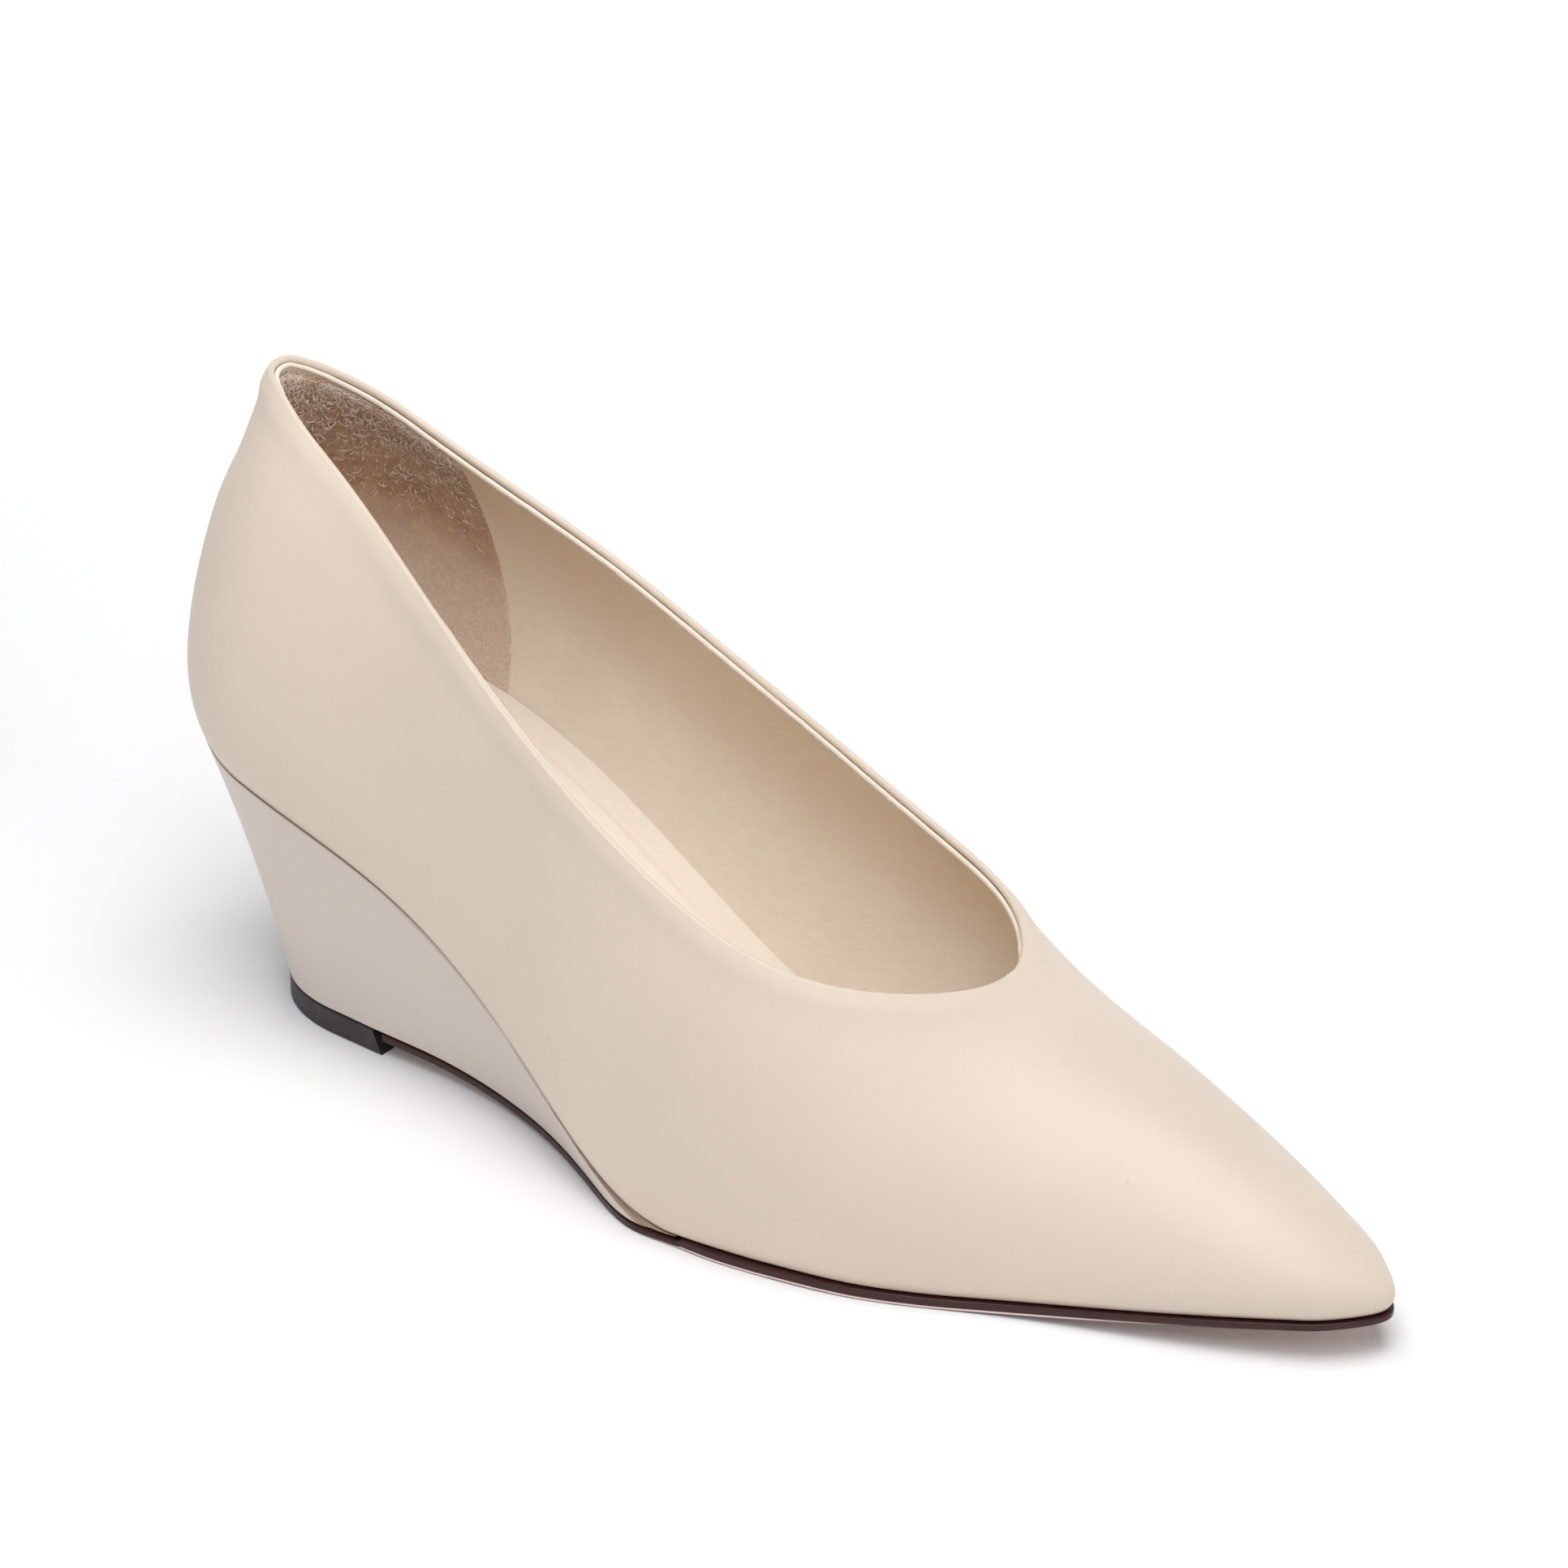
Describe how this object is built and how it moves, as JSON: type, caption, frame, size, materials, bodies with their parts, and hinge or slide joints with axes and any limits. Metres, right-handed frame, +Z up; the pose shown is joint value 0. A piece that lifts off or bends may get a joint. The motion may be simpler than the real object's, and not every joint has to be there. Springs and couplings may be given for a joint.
{
  "type": "wedge pump",
  "caption": "Pointed wedge pump in smooth nude leather with a covered wedge heel, thin dark leather sole and rubber top lift.",
  "frame": {"origin": "middle of the shoe's bounding box, on the floor that the lift and the forefoot stand on", "axes": "+X from the heel to the toe, +Z up, the outer side of the foot towards -Y"},
  "size_m": [0.252, 0.0818, 0.1223],
  "materials": {
    "upper_leather": "satin",
    "sock_leather": "matte",
    "wedge_cover": "satin",
    "sole_leather": "gloss",
    "lift_rubber": "matte"
  },
  "bodies": {
    "root": {"upper": "upper_leather", "insole": "sock_leather", "wedge": "wedge_cover", "outsole": "sole_leather", "top_lift": "lift_rubber"}
  },
  "joints": []
}
